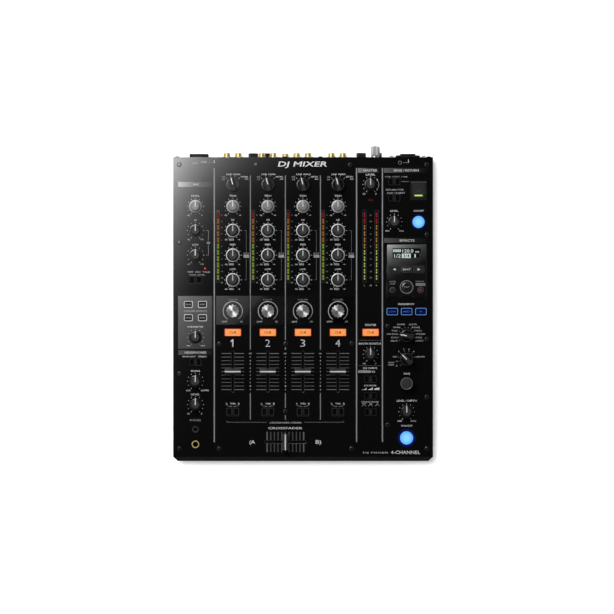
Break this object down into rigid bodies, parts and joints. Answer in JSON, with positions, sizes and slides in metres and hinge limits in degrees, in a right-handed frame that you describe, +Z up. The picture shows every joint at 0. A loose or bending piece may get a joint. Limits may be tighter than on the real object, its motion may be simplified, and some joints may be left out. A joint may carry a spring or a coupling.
{
  "type": "dj mixer",
  "caption": "Flat black audio mixer with rows of rotary controls, channel faders, a crossfader, lit buttons, level meters, a small display and jacks along its rear.",
  "frame": {"origin": "on the standing surface, under the centre of the overall box", "axes": "+X to the player's right, +Y from the player to the rear jacks, +Z up"},
  "size_m": [0.32, 0.3878, 0.1084],
  "materials": {
    "panel_black": "fine satin powder coat",
    "case_black": "satin powder coat",
    "plate_black": "satin powder coat",
    "foot_rubber": "matt",
    "screw_black": "blackened",
    "clear_window": "clear, glossy",
    "gold_plate": "polished gold plate",
    "socket_black": "moulded",
    "board_green": "solder resist",
    "pot_metal": "plated",
    "knob_black": "satin with a white pointer",
    "knob_silver": "satin silver with a light pointer",
    "knob_ringed": "black with a silver ring and a white pointer",
    "knob_chrome": "polished",
    "fader_black": "satin with a white line",
    "button_lit": "lit from inside",
    "button_black": "part lit from inside",
    "switch_black": "ribbed",
    "cover_black": "satin"
  },
  "bodies": {
    "case": {"chassis": "case_black", "top_panel": "panel_black", "rear_panel": "plate_black", "feet": "foot_rubber", "screws": "screw_black", "display_windows": "clear_window", "rca_jacks": "gold_plate", "jack_sockets": "socket_black", "control_board": "board_green", "potentiometers": "pot_metal", "fader_units": "pot_metal", "main_board": "board_green", "power_supply": "board_green"},
    "crossfader": {"crossfader": "fader_black"},
    "ch1_fader": {"ch1_fader": "fader_black"},
    "ch2_fader": {"ch2_fader": "fader_black"},
    "ch3_fader": {"ch3_fader": "fader_black"},
    "ch4_fader": {"ch4_fader": "fader_black"},
    "usb_cover": {"usb_cover": "cover_black"},
    "power_switch": {"power_switch": "switch_black"},
    "cue_buttons": {"cue_buttons": "button_lit"},
    "effect_buttons": {"effect_buttons": "button_black"},
    "slide_switches": {"slide_switches": "switch_black"},
    "ch1_input_selector": {"ch1_input_selector": "knob_black"},
    "effect_selector": {"effect_selector": "knob_black"},
    "effect_channel_selector": {"effect_channel_selector": "knob_black"},
    "effect_time_knob": {"effect_time_knob": "knob_black"},
    "ch1_trim_knob": {"ch1_trim_knob": "knob_silver"},
    "ch1_hi_knob": {"ch1_hi_knob": "knob_ringed"},
    "ch1_mid_knob": {"ch1_mid_knob": "knob_ringed"},
    "ch1_low_knob": {"ch1_low_knob": "knob_ringed"},
    "ch1_color_knob": {"ch1_color_knob": "knob_chrome"},
    "master_level_knob": {"master_level_knob": "knob_black"},
    "booth_level_knob": {"booth_level_knob": "knob_black"},
    "send_level_knob": {"send_level_knob": "knob_black"},
    "effect_depth_knob": {"effect_depth_knob": "knob_black"},
    "parameter_knob": {"parameter_knob": "knob_black"},
    "mic_level_knob": {"mic_level_knob": "knob_silver"},
    "mic_hi_knob": {"mic_hi_knob": "knob_black"},
    "mic_low_knob": {"mic_low_knob": "knob_black"},
    "phones_mixing_knob": {"phones_mixing_knob": "knob_black"},
    "phones_level_knob": {"phones_level_knob": "knob_black"},
    "ch2_input_selector": {"ch2_input_selector": "knob_black"},
    "ch2_trim_knob": {"ch2_trim_knob": "knob_silver"},
    "ch2_hi_knob": {"ch2_hi_knob": "knob_ringed"},
    "ch2_mid_knob": {"ch2_mid_knob": "knob_ringed"},
    "ch2_low_knob": {"ch2_low_knob": "knob_ringed"},
    "ch2_color_knob": {"ch2_color_knob": "knob_chrome"},
    "ch3_input_selector": {"ch3_input_selector": "knob_black"},
    "ch3_trim_knob": {"ch3_trim_knob": "knob_silver"},
    "ch3_hi_knob": {"ch3_hi_knob": "knob_ringed"},
    "ch3_mid_knob": {"ch3_mid_knob": "knob_ringed"},
    "ch3_low_knob": {"ch3_low_knob": "knob_ringed"},
    "ch3_color_knob": {"ch3_color_knob": "knob_chrome"},
    "ch4_input_selector": {"ch4_input_selector": "knob_black"},
    "ch4_trim_knob": {"ch4_trim_knob": "knob_silver"},
    "ch4_hi_knob": {"ch4_hi_knob": "knob_ringed"},
    "ch4_mid_knob": {"ch4_mid_knob": "knob_ringed"},
    "ch4_low_knob": {"ch4_low_knob": "knob_ringed"},
    "ch4_color_knob": {"ch4_color_knob": "knob_chrome"}
  },
  "joints": [
    {"name": "crossfader_slide", "type": "slide", "parent": "case", "child": "crossfader", "axis": [1, 0, 0], "range_m": [-0.0225, 0.0225]},
    {"name": "ch1_fader_slide", "type": "slide", "parent": "case", "child": "ch1_fader", "axis": [0, 1, 0], "range_m": [-0.0225, 0.0225]},
    {"name": "ch2_fader_slide", "type": "slide", "parent": "case", "child": "ch2_fader", "axis": [0, 1, 0], "range_m": [-0.0225, 0.0225]},
    {"name": "ch3_fader_slide", "type": "slide", "parent": "case", "child": "ch3_fader", "axis": [0, 1, 0], "range_m": [-0.0225, 0.0225]},
    {"name": "ch4_fader_slide", "type": "slide", "parent": "case", "child": "ch4_fader", "axis": [0, 1, 0], "range_m": [-0.0225, 0.0225]},
    {"name": "usb_cover_hinge", "type": "hinge", "parent": "case", "child": "usb_cover", "pos_m": [0.1422, 0.1491, 0.0884], "axis": [-1, 0, 0], "range_deg": [0, 100]},
    {"name": "power_switch_rock", "type": "hinge", "parent": "case", "child": "power_switch", "pos_m": [0.1295, 0.17735, 0.064], "axis": [-1, 0, 0], "range_deg": [0, 16]},
    {"name": "cue_buttons_press", "type": "slide", "parent": "case", "child": "cue_buttons", "axis": [0, 0, 1], "range_m": [-0.0012, 0], "stiffness_N_per_m": 400, "springref_m": 0.0005},
    {"name": "effect_buttons_press", "type": "slide", "parent": "case", "child": "effect_buttons", "axis": [0, 0, 1], "range_m": [-0.0012, 0], "stiffness_N_per_m": 400, "springref_m": 0.0005},
    {"name": "slide_switches_shift", "type": "slide", "parent": "case", "child": "slide_switches", "axis": [1, 0, 0], "range_m": [-0.0025, 0.0025]},
    {"name": "ch1_input_selector_turn", "type": "hinge", "parent": "case", "child": "ch1_input_selector", "pos_m": [-0.0865, 0.1466, 0.0884], "axis": [0, 0, 1], "range_deg": [-60, 30]},
    {"name": "effect_selector_turn", "type": "hinge", "parent": "case", "child": "effect_selector", "pos_m": [0.1275, -0.0396, 0.0884], "axis": [0, 0, 1], "range_deg": [-180, 45]},
    {"name": "effect_channel_selector_turn", "type": "hinge", "parent": "case", "child": "effect_channel_selector", "pos_m": [0.1275, -0.0685, 0.0884], "axis": [0, 0, 1], "range_deg": [-120, 90]},
    {"name": "effect_time_knob_turn", "type": "hinge", "parent": "case", "child": "effect_time_knob", "pos_m": [0.1275, -0.0984, 0.0884], "axis": [0, 0, 1], "continuous": true},
    {"name": "ch1_trim_knob_turn", "type": "hinge", "parent": "case", "child": "ch1_trim_knob", "pos_m": [-0.0865, 0.1198, 0.0884], "axis": [0, 0, 1], "range_deg": [-150, 150]},
    {"name": "ch1_hi_knob_turn", "type": "hinge", "parent": "case", "child": "ch1_hi_knob", "pos_m": [-0.0865, 0.09, 0.0884], "axis": [0, 0, 1], "range_deg": [-150, 150]},
    {"name": "ch1_mid_knob_turn", "type": "hinge", "parent": "case", "child": "ch1_mid_knob", "pos_m": [-0.0865, 0.0596, 0.0884], "axis": [0, 0, 1], "range_deg": [-150, 150]},
    {"name": "ch1_low_knob_turn", "type": "hinge", "parent": "case", "child": "ch1_low_knob", "pos_m": [-0.0865, 0.0292, 0.0884], "axis": [0, 0, 1], "range_deg": [-150, 150]},
    {"name": "ch1_color_knob_turn", "type": "hinge", "parent": "case", "child": "ch1_color_knob", "pos_m": [-0.0865, -0.0092, 0.0884], "axis": [0, 0, 1], "range_deg": [-150, 150]},
    {"name": "master_level_knob_turn", "type": "hinge", "parent": "case", "child": "master_level_knob", "pos_m": [0.0831, 0.1466, 0.0884], "axis": [0, 0, 1], "range_deg": [-150, 150]},
    {"name": "booth_level_knob_turn", "type": "hinge", "parent": "case", "child": "booth_level_knob", "pos_m": [0.0831, -0.0623, 0.0884], "axis": [0, 0, 1], "range_deg": [-150, 150]},
    {"name": "send_level_knob_turn", "type": "hinge", "parent": "case", "child": "send_level_knob", "pos_m": [0.1124, 0.1006, 0.0884], "axis": [0, 0, 1], "range_deg": [-150, 150]},
    {"name": "effect_depth_knob_turn", "type": "hinge", "parent": "case", "child": "effect_depth_knob", "pos_m": [0.1275, -0.1332, 0.0884], "axis": [0, 0, 1], "range_deg": [-150, 150]},
    {"name": "parameter_knob_turn", "type": "hinge", "parent": "case", "child": "parameter_knob", "pos_m": [-0.1325, -0.0415, 0.0884], "axis": [0, 0, 1], "range_deg": [-150, 150]},
    {"name": "mic_level_knob_turn", "type": "hinge", "parent": "case", "child": "mic_level_knob", "pos_m": [-0.1325, 0.1198, 0.0884], "axis": [0, 0, 1], "range_deg": [-150, 150]},
    {"name": "mic_hi_knob_turn", "type": "hinge", "parent": "case", "child": "mic_hi_knob", "pos_m": [-0.1325, 0.09, 0.0884], "axis": [0, 0, 1], "range_deg": [-150, 150]},
    {"name": "mic_low_knob_turn", "type": "hinge", "parent": "case", "child": "mic_low_knob", "pos_m": [-0.1325, 0.0596, 0.0884], "axis": [0, 0, 1], "range_deg": [-150, 150]},
    {"name": "phones_mixing_knob_turn", "type": "hinge", "parent": "case", "child": "phones_mixing_knob", "pos_m": [-0.1325, -0.0956, 0.0884], "axis": [0, 0, 1], "range_deg": [-150, 150]},
    {"name": "phones_level_knob_turn", "type": "hinge", "parent": "case", "child": "phones_level_knob", "pos_m": [-0.1325, -0.1243, 0.0884], "axis": [0, 0, 1], "range_deg": [-150, 150]},
    {"name": "ch2_input_selector_turn", "type": "hinge", "parent": "case", "child": "ch2_input_selector", "pos_m": [-0.04335, 0.1466, 0.0884], "axis": [0, 0, 1], "range_deg": [-60, 30]},
    {"name": "ch2_trim_knob_turn", "type": "hinge", "parent": "case", "child": "ch2_trim_knob", "pos_m": [-0.04335, 0.1198, 0.0884], "axis": [0, 0, 1], "range_deg": [-150, 150]},
    {"name": "ch2_hi_knob_turn", "type": "hinge", "parent": "case", "child": "ch2_hi_knob", "pos_m": [-0.04335, 0.09, 0.0884], "axis": [0, 0, 1], "range_deg": [-150, 150]},
    {"name": "ch2_mid_knob_turn", "type": "hinge", "parent": "case", "child": "ch2_mid_knob", "pos_m": [-0.04335, 0.0596, 0.0884], "axis": [0, 0, 1], "range_deg": [-150, 150]},
    {"name": "ch2_low_knob_turn", "type": "hinge", "parent": "case", "child": "ch2_low_knob", "pos_m": [-0.04335, 0.0292, 0.0884], "axis": [0, 0, 1], "range_deg": [-150, 150]},
    {"name": "ch2_color_knob_turn", "type": "hinge", "parent": "case", "child": "ch2_color_knob", "pos_m": [-0.04335, -0.0092, 0.0884], "axis": [0, 0, 1], "range_deg": [-150, 150]},
    {"name": "ch3_input_selector_turn", "type": "hinge", "parent": "case", "child": "ch3_input_selector", "pos_m": [-0.0002, 0.1466, 0.0884], "axis": [0, 0, 1], "range_deg": [-60, 30]},
    {"name": "ch3_trim_knob_turn", "type": "hinge", "parent": "case", "child": "ch3_trim_knob", "pos_m": [-0.0002, 0.1198, 0.0884], "axis": [0, 0, 1], "range_deg": [-150, 150]},
    {"name": "ch3_hi_knob_turn", "type": "hinge", "parent": "case", "child": "ch3_hi_knob", "pos_m": [-0.0002, 0.09, 0.0884], "axis": [0, 0, 1], "range_deg": [-150, 150]},
    {"name": "ch3_mid_knob_turn", "type": "hinge", "parent": "case", "child": "ch3_mid_knob", "pos_m": [-0.0002, 0.0596, 0.0884], "axis": [0, 0, 1], "range_deg": [-150, 150]},
    {"name": "ch3_low_knob_turn", "type": "hinge", "parent": "case", "child": "ch3_low_knob", "pos_m": [-0.0002, 0.0292, 0.0884], "axis": [0, 0, 1], "range_deg": [-150, 150]},
    {"name": "ch3_color_knob_turn", "type": "hinge", "parent": "case", "child": "ch3_color_knob", "pos_m": [-0.0002, -0.0092, 0.0884], "axis": [0, 0, 1], "range_deg": [-150, 150]},
    {"name": "ch4_input_selector_turn", "type": "hinge", "parent": "case", "child": "ch4_input_selector", "pos_m": [0.04295, 0.1466, 0.0884], "axis": [0, 0, 1], "range_deg": [-60, 30]},
    {"name": "ch4_trim_knob_turn", "type": "hinge", "parent": "case", "child": "ch4_trim_knob", "pos_m": [0.04295, 0.1198, 0.0884], "axis": [0, 0, 1], "range_deg": [-150, 150]},
    {"name": "ch4_hi_knob_turn", "type": "hinge", "parent": "case", "child": "ch4_hi_knob", "pos_m": [0.04295, 0.09, 0.0884], "axis": [0, 0, 1], "range_deg": [-150, 150]},
    {"name": "ch4_mid_knob_turn", "type": "hinge", "parent": "case", "child": "ch4_mid_knob", "pos_m": [0.04295, 0.0596, 0.0884], "axis": [0, 0, 1], "range_deg": [-150, 150]},
    {"name": "ch4_low_knob_turn", "type": "hinge", "parent": "case", "child": "ch4_low_knob", "pos_m": [0.04295, 0.0292, 0.0884], "axis": [0, 0, 1], "range_deg": [-150, 150]},
    {"name": "ch4_color_knob_turn", "type": "hinge", "parent": "case", "child": "ch4_color_knob", "pos_m": [0.04295, -0.0092, 0.0884], "axis": [0, 0, 1], "range_deg": [-150, 150]}
  ]
}
